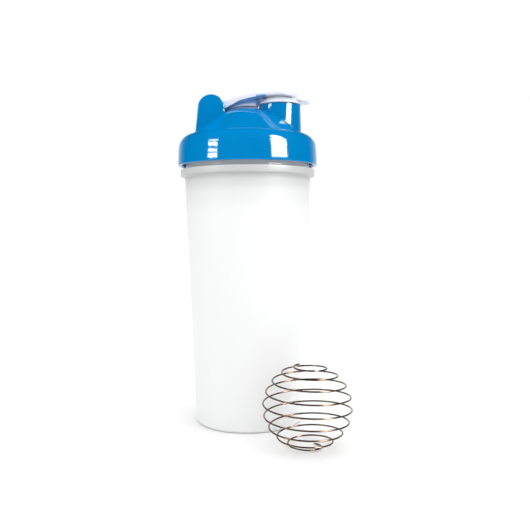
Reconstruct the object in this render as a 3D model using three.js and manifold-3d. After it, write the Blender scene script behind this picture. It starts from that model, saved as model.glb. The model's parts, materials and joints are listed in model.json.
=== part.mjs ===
// Protein shaker bottle: a tapered cup, a screw lid with a pouring spout and two hinge ears, a flip cap
// that closes the spout, the two soft seals, and a loose whisk ball wound from one steel wire.
// Millimetres, +Z up. The bottle's axis is the Z axis and it stands on z = 0. The spout is towards +X and
// the hinge of the flip cap towards -X. The whisk ball stands beside the cup, towards +X and -Y.

import * as THREE from "three";
import { mergeVertices } from "three/addons/utils/BufferGeometryUtils.js";
import Module from "manifold-3d";

const wasm = await Module();
wasm.setup();

// ---- Driving dimensions ----

const LATHE_SEGMENTS = 48;
const SMALL_LATHE_SEGMENTS = 32;

// Cup: the outer wall is a cone whose radius grows with height.
const CUP_RADIUS_AT_FLOOR = 36.9;
const CUP_TAPER = 0.0364;
const CUP_WALL = 1.8;
const CUP_FLOOR_THICKNESS = 3.2;
const CUP_CORNER_RADIUS = 3.5;
const FOOT_RECESS = { innerRadius: 12, outerRadius: 29, depth: 1.2 };
const COLLAR = { bottomZ: 167.6, faceRadius: 46, faceZ: 169.2, topZ: 173.2, edge: 0.5 };
const NECK = { outerRadius: 42.4, innerRadius: 40.6, rimZ: 189.6 };

// Screw thread between neck and lid: one right-hand ridge on each, half a pitch apart.
const THREAD = { pitch: 7, rootWidth: 2.6, crestWidth: 1.2, embed: 0.4 };
const NECK_RIDGE = { crestRadius: 44.1, startZ: 178.5, startTurn: 0, turns: 1 };
const LID_RIDGE = { crestRadius: 43.3, startZ: 178.85, startTurn: 0.55, turns: 0.9 };

// Lid: skirt, rounded shoulder, cone and domed top.
const LID = { rimRadius: 47.6, rimZ: 175.9, skirtInnerRadius: 45 };
const SHOULDER = { centreRadius: 37.9, centreZ: 187.6, radius: 9.2 };
const CREASE = { radius: 36.9, z: 197.9 };
const DOME = { topZ: 215.6, radius: 42.5, edgeRadius: 23.5 };
const LID_WALL = 2;
const SEAL_GROOVE = { innerRadius: 40, outerRadius: 44.4, topZ: 191.9 };
const PLUG_RIB = { innerRadius: 38.2, outerRadius: 40, bottomZ: 186.5, topZ: 194.5 };
const CAVITY_CREASE = { radius: 34.9, z: 196.7 };
const RING = { innerRadius: 40.4, outerRadius: 44, bottomZ: 189.9, topZ: 191.6 };

// Spout on the lid, and the parts of the cap that close it.
const SPOUT = { x: 22.3, topRadius: 14.2, topZ: 217, baseRadius: 14.8, baseZ: 196, boreRadius: 11.6 };
const PLUG = { topRadius: 8.2, topZ: 221.7, flangeRadius: 12.2, flangeZ: 217.3, tipZ: 211.6 };
const PLUG_STEM = { rootRadius: 11.1, tipRadius: 10.4, hollowRadius: 8.4, hollowTopZ: 218 };

// Ears of the lid: two upright plates whose round tops share the hinge axis, along Y.
const HINGE = { x: -23.9, z: 214.1 };
const EAR = { radius: 9, innerY: 9.5, outerY: 12.1, rootZ: 192, rootRearX: -35.2 };
const SOCKET = { radius: 2.5, endY: 11.3 };

// Flip cap, closed.
const CAP_HUB = { radius: 4.2, halfLength: 9.1 };
const TRUNNION = { radius: 2.2, endY: 10.9 };
const CAP_DISC_RADIUS = 16.3;
const CAP_FRONT_REACH = 13.1;
const CAP_WIDENING_X = -12;
const CAP_BELL = { rimRadius: 15.2, rimZ: 217.3, topRadius: 9.4, wall: 1.2, curveRadius: 17 };
const CAP_UNDERSIDE_Z = 222;
const CAP_TOP_LINE = [
  [-16, 219.1],
  [-7.6, 221.5],
  [2, 223.3],
  [10.5, 224.1],
  [22.6, 224.2],
  [29.4, 223.8],
  [35.5, 222.9],
];
const CAP_LOWER_LINE = [
  [11, 221.7],
  [6, 221],
  [1.7, 220.3],
  [-5, 218.8],
  [-10.5, 216.2],
  [-16, 213.7],
];
const KEEL = { halfWidth: 4, rearX: -15, frontX: 6, domeGap: 0.9 };
const KEEL_TOP_LINE = [
  [6, 222.2],
  [-7.6, 220.2],
  [-15, 217],
];
// Web between the keel and the bell: its outline in X and Z.
const WEB = { halfWidth: 2.4 };
const WEB_OUTLINE = [
  [5, 222.3],
  [5, 215.9],
  [7.7, 215.9],
  [7.7, 217.5],
  [8.7, 219],
  [10.1, 220.3],
  [13, 222.3],
];
const THUMB_TAB = { halfWidth: 8.5, rootX: 31, tipX: 42.5, rootZ: 222.4, tipZ: 220.6, thickness: 2.4 };

// Whisk ball: a left-hand coil on a slightly flattened ball, wound nearly from pole to pole.
const BALL = { x: 36.7, y: -63.2, wireRadius: 0.5, radius: 27.1, halfHeight: 25.65, poleAngle: 15 };
const BALL_COIL = { turns: 8.8, startAngle: 125, stepsPerTurn: 18, wireSides: 6 };

// ---- Shared geometry helpers ----

const radians = THREE.MathUtils.degToRad;

function arc(centreX, centreY, radius, fromDegrees, toDegrees, steps) {
  return Array.from({ length: steps + 1 }, (_, i) => {
    const angle = radians(fromDegrees + ((toDegrees - fromDegrees) * i) / steps);
    return [centreX + radius * Math.cos(angle), centreY + radius * Math.sin(angle)];
  });
}

// Turns a closed outline of [radius, z] points around the Z axis.
function lathe(outline, segments = LATHE_SEGMENTS) {
  const points = outline.map(([radius, z]) => new THREE.Vector2(radius, z));
  return new THREE.LatheGeometry(points, segments).rotateX(Math.PI / 2);
}

// Extrudes a shape drawn in X and Z to the same distance on both sides of y = 0.
function extrudeAcross(shape, halfWidth, curveSegments = 12) {
  const options = { depth: 2 * halfWidth, bevelEnabled: false, curveSegments };
  return new THREE.ExtrudeGeometry(shape, options).translate(0, 0, -halfWidth).rotateX(Math.PI / 2);
}

// Extrudes a shape drawn in X and Y upwards.
function extrudeUp(shape, bottomZ, topZ, curveSegments = 12) {
  const options = { depth: topZ - bottomZ, bevelEnabled: false, curveSegments };
  return new THREE.ExtrudeGeometry(shape, options).translate(0, 0, bottomZ);
}

function rodAcross(x, z, radius, halfLength, segments = 28) {
  return new THREE.CylinderGeometry(radius, radius, 2 * halfLength, segments).translate(x, 0, z);
}

function solid(geometry) {
  const bare = geometry.clone();
  bare.deleteAttribute("normal");
  bare.deleteAttribute("uv");
  const merged = mergeVertices(bare, 1e-4);
  const vertProperties = merged.attributes.position.array;
  const triVerts = new Uint32Array(merged.index.array);
  return new wasm.Manifold(new wasm.Mesh({ numProp: 3, vertProperties, triVerts }));
}

function geometryOf(manifold) {
  const { vertProperties, triVerts } = manifold.getMesh();
  const geometry = new THREE.BufferGeometry();
  geometry.setAttribute("position", new THREE.BufferAttribute(vertProperties, 3));
  geometry.setIndex(new THREE.BufferAttribute(triVerts, 1));
  geometry.computeVertexNormals();
  return geometry;
}

function mesh(name, geometry, material) {
  const made = new THREE.Mesh(geometry, material);
  made.name = name;
  return made;
}

// ---- Screw thread ----

class Helix extends THREE.Curve {
  constructor(radius, rise, turns) {
    super();
    Object.assign(this, { radius, rise, turns });
  }

  getPoint(t, target = new THREE.Vector3()) {
    const angle = 2 * Math.PI * this.turns * t;
    return target.set(this.radius * Math.cos(angle), this.radius * Math.sin(angle), this.rise * t);
  }
}

// One thread ridge from its root on a wall to its crest, inwards or outwards from that wall.
function threadRidge(ridge, wallRadius) {
  const inwards = Math.sign(wallRadius - ridge.crestRadius);
  const root = -inwards * THREAD.embed;
  const crest = wallRadius - ridge.crestRadius;
  const section = new THREE.Shape();
  section.moveTo(root, -THREAD.rootWidth / 2);
  section.lineTo(crest, -THREAD.crestWidth / 2);
  section.lineTo(crest, THREAD.crestWidth / 2);
  section.lineTo(root, THREAD.rootWidth / 2);
  section.closePath();
  const extrudePath = new Helix(wallRadius, THREAD.pitch * ridge.turns, ridge.turns);
  const options = { steps: Math.round(40 * ridge.turns), bevelEnabled: false, extrudePath };
  return new THREE.ExtrudeGeometry(section, options)
    .rotateZ(2 * Math.PI * ridge.startTurn)
    .translate(0, 0, ridge.startZ);
}

// ---- Cup ----

function wallRadiusAt(z) {
  return CUP_RADIUS_AT_FLOOR + CUP_TAPER * z;
}

function cupOutside() {
  const corner = CUP_CORNER_RADIUS;
  const cornerCentre = wallRadiusAt(corner) - corner;
  const { innerRadius, outerRadius, depth } = FOOT_RECESS;
  return [
    [0, 0],
    [innerRadius - depth, 0],
    [innerRadius, depth],
    [outerRadius - depth, depth],
    [outerRadius, 0],
    ...arc(cornerCentre, corner, corner, -90, 0, 5),
    [wallRadiusAt(COLLAR.bottomZ), COLLAR.bottomZ],
    [COLLAR.faceRadius - COLLAR.edge, COLLAR.faceZ - COLLAR.edge],
    [COLLAR.faceRadius, COLLAR.faceZ],
    [COLLAR.faceRadius, COLLAR.topZ - COLLAR.edge],
    [COLLAR.faceRadius - COLLAR.edge, COLLAR.topZ],
    [NECK.outerRadius, COLLAR.topZ],
    [NECK.outerRadius, NECK.rimZ - 0.6],
    [NECK.outerRadius - 0.6, NECK.rimZ],
  ];
}

function cupInside() {
  const bottom = CUP_FLOOR_THICKNESS;
  const corner = 2 * CUP_CORNER_RADIUS;
  const cornerCentre = wallRadiusAt(bottom + corner) - CUP_WALL - corner;
  return [
    [NECK.innerRadius + 0.4, NECK.rimZ],
    [NECK.innerRadius, NECK.rimZ - 0.4],
    [NECK.innerRadius, COLLAR.topZ],
    [wallRadiusAt(COLLAR.bottomZ) - CUP_WALL, COLLAR.bottomZ],
    ...arc(cornerCentre, bottom + corner, corner, 0, -90, 5),
    [0, bottom],
  ];
}

function cup() {
  const body = solid(lathe([...cupOutside(), ...cupInside()]));
  const ridge = solid(threadRidge(NECK_RIDGE, NECK.outerRadius));
  const material = new THREE.MeshStandardMaterial({
    color: 0xf1f3f4,
    roughness: 0.45,
    metalness: 0,
    transparent: true,
    opacity: 0.75,
  });
  return mesh("cup", geometryOf(body.add(ridge)), material);
}

// ---- Lid ----

function domeArc(radius, edgeRadius) {
  const centreZ = DOME.topZ - DOME.radius;
  const edge = THREE.MathUtils.radToDeg(Math.acos(edgeRadius / radius));
  return arc(0, centreZ, radius, edge, 90, 6);
}

function lidOutside() {
  const { rimRadius, rimZ } = LID;
  const { centreRadius, centreZ, radius } = SHOULDER;
  return lathe([
    [0, rimZ],
    [rimRadius - 1, rimZ],
    [rimRadius - 0.3, rimZ + 0.3],
    [rimRadius, rimZ + 1],
    ...arc(centreRadius, centreZ, radius, 0, 85, 6),
    [CREASE.radius, CREASE.z],
    ...domeArc(DOME.radius, DOME.edgeRadius),
  ]);
}

function lidCavity() {
  const belowRim = LID.rimZ - 5;
  const { innerRadius, outerRadius, topZ } = SEAL_GROOVE;
  return lathe([
    [0, belowRim],
    [LID.skirtInnerRadius, belowRim],
    [LID.skirtInnerRadius, topZ - 2],
    [outerRadius, topZ],
    [innerRadius, topZ],
    [PLUG_RIB.outerRadius, PLUG_RIB.bottomZ],
    [PLUG_RIB.innerRadius, PLUG_RIB.bottomZ],
    [PLUG_RIB.innerRadius, PLUG_RIB.topZ],
    [CAVITY_CREASE.radius, CAVITY_CREASE.z],
    ...domeArc(DOME.radius - LID_WALL, DOME.edgeRadius - LID_WALL / 2),
  ]);
}

function spoutTube() {
  const { topRadius, topZ, baseRadius, baseZ } = SPOUT;
  const outline = [
    [0, baseZ],
    [baseRadius, baseZ],
    [topRadius, topZ - 0.5],
    [topRadius - 0.5, topZ],
    [0, topZ],
  ];
  return lathe(outline, SMALL_LATHE_SEGMENTS).translate(SPOUT.x, 0, 0);
}

function spoutBore() {
  const height = 30;
  return new THREE.CylinderGeometry(SPOUT.boreRadius, SPOUT.boreRadius, height, SMALL_LATHE_SEGMENTS)
    .rotateX(Math.PI / 2)
    .translate(SPOUT.x, 0, SPOUT.topZ + 1 - height / 2);
}

function earShape() {
  const shape = new THREE.Shape();
  shape.moveTo(EAR.rootRearX, EAR.rootZ);
  shape.lineTo(HINGE.x + EAR.radius, EAR.rootZ);
  shape.absarc(HINGE.x, HINGE.z, EAR.radius, 0, Math.PI, false);
  shape.closePath();
  return shape;
}

// Both ears with a blind socket in each for the cap's trunnions.
function ears() {
  const blank = solid(extrudeAcross(earShape(), EAR.outerY, 16));
  const between = solid(extrudeAcross(earGapShape(), EAR.innerY));
  const sockets = solid(rodAcross(HINGE.x, HINGE.z, SOCKET.radius, SOCKET.endY));
  return blank.subtract(between).subtract(sockets);
}

function earGapShape() {
  const margin = 2;
  const shape = new THREE.Shape();
  shape.moveTo(EAR.rootRearX - margin, EAR.rootZ - margin);
  shape.lineTo(HINGE.x + EAR.radius + margin, EAR.rootZ - margin);
  shape.lineTo(HINGE.x + EAR.radius + margin, HINGE.z + EAR.radius + margin);
  shape.lineTo(EAR.rootRearX - margin, HINGE.z + EAR.radius + margin);
  shape.closePath();
  return shape;
}

function lid() {
  const outside = solid(lidOutside()).add(solid(spoutTube())).add(ears());
  const shell = outside.subtract(solid(lidCavity())).subtract(solid(spoutBore()));
  const ridge = solid(threadRidge(LID_RIDGE, LID.skirtInnerRadius));
  const material = new THREE.MeshStandardMaterial({ color: 0x0086cb, roughness: 0.15, metalness: 0 });
  return mesh("lid", geometryOf(shell.add(ridge)), material);
}

// ---- Soft seals ----

function sealRing() {
  const { innerRadius, outerRadius, bottomZ, topZ } = RING;
  const edge = 0.4;
  const geometry = lathe([
    [innerRadius, bottomZ + edge],
    [innerRadius + edge, bottomZ],
    [outerRadius - edge, bottomZ],
    [outerRadius, bottomZ + edge],
    [outerRadius, topZ - edge],
    [outerRadius - edge, topZ],
    [innerRadius + edge, topZ],
    [innerRadius, topZ - edge],
    [innerRadius, bottomZ + edge],
  ]);
  const material = new THREE.MeshStandardMaterial({ color: 0xe9edf0, roughness: 0.6, metalness: 0 });
  return mesh("lid_seal_ring", geometry, material);
}

// The plug is hollow from below, so that its stem can flex against the bore.
function spoutPlug() {
  const { topRadius, topZ, flangeRadius, flangeZ, tipZ } = PLUG;
  const { rootRadius, tipRadius, hollowRadius, hollowTopZ } = PLUG_STEM;
  const outline = [
    [0, hollowTopZ],
    [hollowRadius, hollowTopZ],
    [hollowRadius, tipZ],
    [tipRadius - 0.6, tipZ],
    [tipRadius, tipZ + 0.6],
    [rootRadius, flangeZ],
    [flangeRadius, flangeZ],
    [flangeRadius, flangeZ + 0.6],
    [topRadius, topZ],
    [0, topZ],
  ];
  const material = new THREE.MeshStandardMaterial({ color: 0xe6e8ec, roughness: 0.6, metalness: 0 });
  const plug = mesh("spout_plug", lathe(outline, SMALL_LATHE_SEGMENTS), material);
  plug.position.x = SPOUT.x;
  return plug;
}

// ---- Flip cap ----

// Outline seen from above: parallel sides between the ears, then tangents to the disc, whose front half
// is flattened.
function capPlanShape() {
  const half = CAP_HUB.halfLength;
  const span = SPOUT.x - CAP_WIDENING_X;
  const tangent = Math.asin(CAP_DISC_RADIUS / Math.hypot(span, half)) - Math.atan2(half, span);
  const meets = Math.PI / 2 + tangent;
  const shape = new THREE.Shape();
  shape.moveTo(HINGE.x, half);
  shape.lineTo(HINGE.x, -half);
  shape.lineTo(CAP_WIDENING_X, -half);
  shape.absarc(SPOUT.x, 0, CAP_DISC_RADIUS, -meets, -Math.PI / 2, false);
  shape.absellipse(SPOUT.x, 0, CAP_FRONT_REACH, CAP_DISC_RADIUS, -Math.PI / 2, Math.PI / 2, false, 0);
  shape.absarc(SPOUT.x, 0, CAP_DISC_RADIUS, Math.PI / 2, meets, false);
  shape.lineTo(CAP_WIDENING_X, half);
  shape.closePath();
  return shape;
}

// Outline seen from the side: the arched top line and the lower line of the rim.
function capSideShape() {
  const tipX = SPOUT.x + CAP_DISC_RADIUS + 1;
  const lastTop = CAP_TOP_LINE[CAP_TOP_LINE.length - 1];
  const vectors = (line) => line.map(([x, z]) => new THREE.Vector2(x, z));
  const shape = new THREE.Shape();
  shape.moveTo(HINGE.x, HINGE.z - 1);
  shape.lineTo(HINGE.x, HINGE.z + CAP_HUB.radius);
  shape.splineThru(vectors(CAP_TOP_LINE));
  shape.lineTo(tipX, lastTop[1] - 1);
  shape.lineTo(tipX, CAP_UNDERSIDE_Z - 0.6);
  shape.lineTo(lastTop[0] - 4, CAP_UNDERSIDE_Z);
  shape.lineTo(CAP_LOWER_LINE[0][0] + 4, CAP_UNDERSIDE_Z);
  shape.splineThru(vectors(CAP_LOWER_LINE));
  shape.closePath();
  return shape;
}

// The keel under the arm fills the space down to just above the dome.
function keelShape() {
  const reach = DOME.radius + KEEL.domeGap;
  const centreZ = DOME.topZ - DOME.radius;
  const angleAt = (x) => Math.acos(x / reach);
  const shape = new THREE.Shape(KEEL_TOP_LINE.map(([x, z]) => new THREE.Vector2(x, z)));
  shape.absarc(0, centreZ, reach, angleAt(KEEL.rearX), angleAt(KEEL.frontX), true);
  shape.closePath();
  return shape;
}

function webShape() {
  return new THREE.Shape(WEB_OUTLINE.map(([x, z]) => new THREE.Vector2(x, z)));
}

function thumbTabShape() {
  const { rootX, tipX, rootZ, tipZ, thickness } = THUMB_TAB;
  const shape = new THREE.Shape();
  shape.moveTo(rootX, rootZ);
  shape.lineTo(rootX, rootZ - thickness);
  shape.lineTo(tipX - 0.8, tipZ - thickness + 0.6);
  shape.lineTo(tipX, tipZ - 0.4);
  shape.lineTo(tipX - 0.5, tipZ);
  shape.closePath();
  return shape;
}

function thumbTabPlan() {
  const { rootX, tipX, halfWidth } = THUMB_TAB;
  const bulge = tipX - halfWidth;
  const shape = new THREE.Shape();
  shape.moveTo(rootX, halfWidth);
  shape.lineTo(rootX, -halfWidth);
  shape.absarc(bulge, 0, halfWidth, -Math.PI / 2, Math.PI / 2, false);
  shape.closePath();
  return shape;
}

// Side line of the bell that covers the spout's mouth, from its rim up to the plate: a flat arc.
function bellLine(inset) {
  const { rimRadius, rimZ, topRadius, curveRadius } = CAP_BELL;
  const rim = new THREE.Vector2(rimRadius, rimZ);
  const top = new THREE.Vector2(topRadius, CAP_UNDERSIDE_Z);
  const chord = top.clone().sub(rim);
  const sag = curveRadius - Math.sqrt(curveRadius ** 2 - chord.lengthSq() / 4);
  const outward = new THREE.Vector2(chord.y, -chord.x).normalize();
  const middle = rim.clone().add(top).multiplyScalar(0.5).addScaledVector(outward, sag);
  return [rim, middle, top].map((point) => [point.x - inset, point.y]);
}

function capBell() {
  const [rim, middle, top] = bellLine(0);
  const [innerRim, innerMiddle, innerTop] = bellLine(CAP_BELL.wall);
  const seatZ = CAP_UNDERSIDE_Z + 0.6;
  const outline = [
    innerRim,
    [rim[0] - 0.3, rim[1]],
    [rim[0], rim[1] + 0.4],
    middle,
    top,
    [top[0], seatZ],
    [innerTop[0], seatZ],
    innerTop,
    innerMiddle,
    innerRim,
  ];
  return lathe(outline, SMALL_LATHE_SEGMENTS).translate(SPOUT.x, 0, 0);
}

// Space inside the bell, which keeps the tab's root out of it.
function bellHollow() {
  const outline = [[0, CAP_BELL.rimZ - 1], [CAP_BELL.rimRadius - CAP_BELL.wall, CAP_BELL.rimZ - 1]];
  outline.push(...bellLine(CAP_BELL.wall), [0, CAP_UNDERSIDE_Z]);
  return lathe(outline, SMALL_LATHE_SEGMENTS).translate(SPOUT.x, 0, 0);
}

function flipCap() {
  const plan = solid(extrudeUp(capPlanShape(), HINGE.z - 10, HINGE.z + 20, 14));
  const arm = solid(extrudeAcross(capSideShape(), 30, 3)).intersect(plan);
  const tabPlan = solid(extrudeUp(thumbTabPlan(), HINGE.z - 10, HINGE.z + 20));
  const tab = solid(extrudeAcross(thumbTabShape(), 30)).intersect(tabPlan);
  const hollow = solid(bellHollow());
  const keel = solid(extrudeAcross(keelShape(), KEEL.halfWidth, 6));
  const web = solid(extrudeAcross(webShape(), WEB.halfWidth));
  const hub = solid(rodAcross(HINGE.x, HINGE.z, CAP_HUB.radius, CAP_HUB.halfLength));
  const trunnions = solid(rodAcross(HINGE.x, HINGE.z, TRUNNION.radius, TRUNNION.endY, 20));
  const made = arm.add(tab).subtract(hollow).add(solid(capBell())).add(keel).add(web).add(hub).add(trunnions);
  const material = new THREE.MeshStandardMaterial({ color: 0xf4f4fa, roughness: 0.25, metalness: 0 });
  return mesh("flip_cap", geometryOf(made), material);
}

// ---- Whisk ball ----

class BallCoil extends THREE.Curve {
  getPoint(t, target = new THREE.Vector3()) {
    const polar = radians(BALL.poleAngle + (180 - 2 * BALL.poleAngle) * t);
    const angle = radians(BALL_COIL.startAngle + 360 * BALL_COIL.turns * t);
    const ring = BALL.radius * Math.sin(polar);
    return target.set(ring * Math.cos(angle), ring * Math.sin(angle), BALL.halfHeight * Math.cos(polar));
  }
}

function whiskBall() {
  const section = new THREE.Shape().absarc(0, 0, BALL.wireRadius, 0, 2 * Math.PI, false);
  const geometry = new THREE.ExtrudeGeometry(section, {
    steps: Math.round(BALL_COIL.turns * BALL_COIL.stepsPerTurn),
    curveSegments: BALL_COIL.wireSides / 2,
    bevelEnabled: false,
    extrudePath: new BallCoil(),
  });
  const material = new THREE.MeshStandardMaterial({ color: 0xa9a5a0, roughness: 0.2, metalness: 1 });
  const ball = mesh("whisk_ball", geometry, material);
  const lowest = BALL.halfHeight * Math.cos(radians(BALL.poleAngle)) + BALL.wireRadius;
  ball.position.set(BALL.x, BALL.y, lowest);
  return ball;
}

// ---- The whole shaker ----

const shaker = new THREE.Group();
shaker.name = "protein_shaker";
shaker.add(cup(), lid(), sealRing(), flipCap(), spoutPlug(), whiskBall());

export default shaker;
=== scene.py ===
"""Looks of the protein shaker bottle: smooth moulded shells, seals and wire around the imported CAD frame.

Shapes are worked out in millimetres in the frame of the CAD model, and meshes are stored in metres.
The bottle's axis is Z and it stands on z = 0; the spout is towards +X and the cap's hinge towards -X.
"""

import json
from math import acos, atan2, asin, cos, hypot, pi, radians, sin, sqrt, tan

import bmesh
import bpy
from mathutils import Matrix, Vector


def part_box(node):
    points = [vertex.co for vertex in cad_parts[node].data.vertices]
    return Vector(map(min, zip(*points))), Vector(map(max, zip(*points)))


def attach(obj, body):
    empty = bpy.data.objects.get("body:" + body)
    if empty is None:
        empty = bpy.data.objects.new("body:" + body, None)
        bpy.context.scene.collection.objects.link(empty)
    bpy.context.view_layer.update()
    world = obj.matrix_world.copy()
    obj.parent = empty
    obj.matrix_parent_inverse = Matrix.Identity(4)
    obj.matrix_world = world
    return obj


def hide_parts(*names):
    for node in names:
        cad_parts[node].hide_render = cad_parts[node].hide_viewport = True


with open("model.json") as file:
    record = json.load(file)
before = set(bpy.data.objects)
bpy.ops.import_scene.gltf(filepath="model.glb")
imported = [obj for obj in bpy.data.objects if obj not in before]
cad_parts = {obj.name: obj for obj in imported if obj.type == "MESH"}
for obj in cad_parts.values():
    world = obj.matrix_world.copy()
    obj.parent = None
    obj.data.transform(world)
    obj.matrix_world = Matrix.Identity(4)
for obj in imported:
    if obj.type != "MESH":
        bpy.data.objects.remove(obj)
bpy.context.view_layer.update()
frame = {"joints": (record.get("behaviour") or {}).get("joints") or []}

MM = 0.001
scene = bpy.context.scene


# ---- Places and sizes from the frame, in millimetres ----

def box_mm(node):
    low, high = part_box(node)
    return low / MM, high / MM


def joint(name):
    return next(j for j in frame["joints"] if j["name"] == name)


CUP_LOW, CUP_HIGH = box_mm("cup")
LID_LOW, LID_HIGH = box_mm("lid")
CAP_LOW, CAP_HIGH = box_mm("flip_cap")
PLUG_LOW, PLUG_HIGH = box_mm("spout_plug")
SEAL_LOW, SEAL_HIGH = box_mm("lid_seal_ring")
BALL_LOW, BALL_HIGH = box_mm("whisk_ball")
HINGE = Vector(joint("cap_hinge")["pos_m"]) / MM

RIM_Z = CUP_HIGH.z
LIP_RADIUS = (CUP_HIGH.x - CUP_LOW.x) / 2
SKIRT_Z = LID_LOW.z
SKIRT_RADIUS = (LID_HIGH.y - LID_LOW.y) / 2
SPOUT_X = (PLUG_LOW.x + PLUG_HIGH.x) / 2

# Cup: a cone with a drip collar under the neck.
FLOOR_RADIUS = LIP_RADIUS - 9.1
TAPER = 0.0364
WALL = 1.8
BASE_THICKNESS = 3.2
NECK_RADIUS = LIP_RADIUS - 3.6
NECK_INNER = NECK_RADIUS - WALL
COLLAR_TOP_Z = RIM_Z - 16.4
COLLAR_FACE_Z = RIM_Z - 20.4
COLLAR_UNDER_Z = RIM_Z - 22

# Lid: skirt, shoulder arc, cone, dome.
SKIRT_INNER = SKIRT_RADIUS - 2.6
SHOULDER_RADIUS = 9.2
SHOULDER_CENTRE = (SKIRT_RADIUS - 9.7, SKIRT_Z + 11.7)
CREASE = (SKIRT_RADIUS - 9.2, SKIRT_Z + 20.9)
CONE_TOP = (SKIRT_RADIUS - 24.1, SKIRT_Z + 32.6)
DOME_RADIUS = 42.5
DOME_CENTRE_Z = SKIRT_Z - 2.8
LID_WALL = 2.0
GROOVE_TOP_Z = SEAL_HIGH.z + 0.3

# Spout tube.
SPOUT_TOP_Z = SKIRT_Z + 41.1
SPOUT_TOP_RADIUS = 14.2
SPOUT_BASE_RADIUS = 14.8
SPOUT_BASE_Z = SKIRT_Z + 20
BORE_RADIUS = 11.6

# Ears.
EAR_RADIUS = 9.0
EAR_INNER_Y = 9.5
EAR_OUTER_Y = 12.1
EAR_ROOT_Z = SKIRT_Z + 17
EAR_ROOT_REAR_X = HINGE.x - 11.3

# Screw thread: ridges on neck and skirt half a pitch apart.
THREAD_PITCH = 7.0
THREAD_HEIGHT = 1.7
NECK_THREAD = {"z": RIM_Z - 11.1, "first": 0.0, "last": 1.0}
LID_THREAD = {"z": RIM_Z - 14.6, "first": 0.55, "last": 1.45}


# ---- Outlines ----

def arc_points(centre, radius, start, end, steps):
    """Points [x, z] on an arc, angles in degrees."""
    turns = [radians(start + (end - start) * i / steps) for i in range(steps + 1)]
    return [(centre[0] + radius * cos(a), centre[1] + radius * sin(a)) for a in turns]


def fillet_arc(before, corner, after, radius, steps):
    """The arc that rounds one corner of an outline."""
    c = Vector(corner)
    d1, d2 = (Vector(before) - c), (Vector(after) - c)
    limit = 0.49 * min(d1.length, d2.length)
    d1.normalize()
    d2.normalize()
    half = acos(max(-1.0, min(1.0, d1.dot(d2)))) / 2
    if half > radians(89.5) or radius <= 0:
        return [tuple(c)]
    cut = min(radius / tan(half), limit)
    radius = cut * tan(half)
    centre = c + (d1 + d2).normalized() * (radius / sin(half))
    first, last = c + d1 * cut - centre, c + d2 * cut - centre
    sweep = first.angle_signed(last)
    rotated = [Matrix.Rotation(-sweep * i / steps, 2) @ first for i in range(steps + 1)]
    return [tuple(centre + v) for v in rotated]


def rounded(corners, closed=False, steps=5):
    """Turns [(x, z, fillet radius), ...] into an outline with its corners rounded."""
    points = [c[:2] for c in corners]
    radii = [c[2] if len(c) > 2 else 0 for c in corners]
    made = []
    for i, point in enumerate(points):
        inner = closed or 0 < i < len(points) - 1
        if inner and radii[i] > 0:
            after = points[(i + 1) % len(points)]
            made += fillet_arc(points[i - 1], point, after, radii[i], steps)
        else:
            made.append(tuple(point))
    return made


def subdivided(points, start_z, end_z, step):
    """Adds points to an outline between two heights, so that a thread can be raised there."""
    made = [points[0]]
    low, high = min(start_z, end_z), max(start_z, end_z)
    for (r0, z0), (r1, z1) in zip(points, points[1:]):
        inside = low - 0.01 <= min(z0, z1) and max(z0, z1) <= high + 0.01
        count = max(1, round(hypot(r1 - r0, z1 - z0) / step)) if inside else 1
        made += [(r0 + (r1 - r0) * i / count, z0 + (z1 - z0) * i / count) for i in range(1, count + 1)]
    return made


# ---- Meshes ----

def mesh_object(name, vertices, faces):
    """A mesh object from millimetre vertices, with its doubles merged and its faces turned outwards."""
    mesh = bpy.data.meshes.new(name)
    mesh.from_pydata([tuple(c * MM for c in v) for v in vertices], [], faces)
    tidy = bmesh.new()
    tidy.from_mesh(mesh)
    bmesh.ops.remove_doubles(tidy, verts=tidy.verts, dist=2e-7)
    bmesh.ops.recalc_face_normals(tidy, faces=tidy.faces)
    tidy.to_mesh(mesh)
    tidy.free()
    made = bpy.data.objects.new(name, mesh)
    scene.collection.objects.link(made)
    return made


def loft(name, loops, closed_along=False):
    """Joins closed loops of equal length into a closed skin, filling the ends unless they meet."""
    count = len(loops[0])
    vertices = [p for loop in loops for p in loop]
    rows = len(loops)
    faces = []
    for row in range(rows if closed_along else rows - 1):
        here, there = row * count, ((row + 1) % rows) * count
        for i in range(count):
            j = (i + 1) % count
            faces.append((here + i, here + j, there + j, there + i))
    if not closed_along:
        faces.append(tuple(reversed(range(count))))
        faces.append(tuple(range((rows - 1) * count, rows * count)))
    return mesh_object(name, vertices, faces)


def revolve(name, outline, segments=144, raised=None, centre=(0, 0)):
    """Turns an outline of (radius, z) about a vertical axis. raised(r, z, angle) moves a point outwards."""
    closed = outline[0][0] > 1e-6
    vertices, faces = [], []
    for radius, z in outline:
        for s in range(segments):
            angle = 2 * pi * s / segments
            reach = radius + (raised(radius, z, angle) if raised else 0)
            vertices.append((centre[0] + reach * cos(angle), centre[1] + reach * sin(angle), z))
    rows = len(outline)
    for row in range(rows if closed else rows - 1):
        here, there = row * segments, ((row + 1) % rows) * segments
        for s in range(segments):
            t = (s + 1) % segments
            faces.append((here + s, here + t, there + t, there + s))
    return mesh_object(name, vertices, faces)


def combine(target, operation, *tools):
    """Joins or cuts closed meshes for good, and removes the tools."""
    for tool in tools:
        modifier = target.modifiers.new("combine", "BOOLEAN")
        modifier.solver = "MANIFOLD"
        modifier.operation = operation
        modifier.object = tool
        graph = bpy.context.evaluated_depsgraph_get()
        result = bpy.data.meshes.new_from_object(target.evaluated_get(graph))
        target.modifiers.clear()
        target.data = result
        bpy.data.objects.remove(tool)
    return target


def finish_piece(piece, material, body, node, crease=35):
    """Smooth shading with creases, material, and the piece's place in the frame."""
    mesh = piece.data
    mesh.shade_smooth()
    mesh.set_sharp_from_angle(angle=radians(crease))
    mesh.materials.clear()
    mesh.materials.append(material)
    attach(piece, body)
    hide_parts(node)
    return piece


# ---- Materials ----

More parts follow.
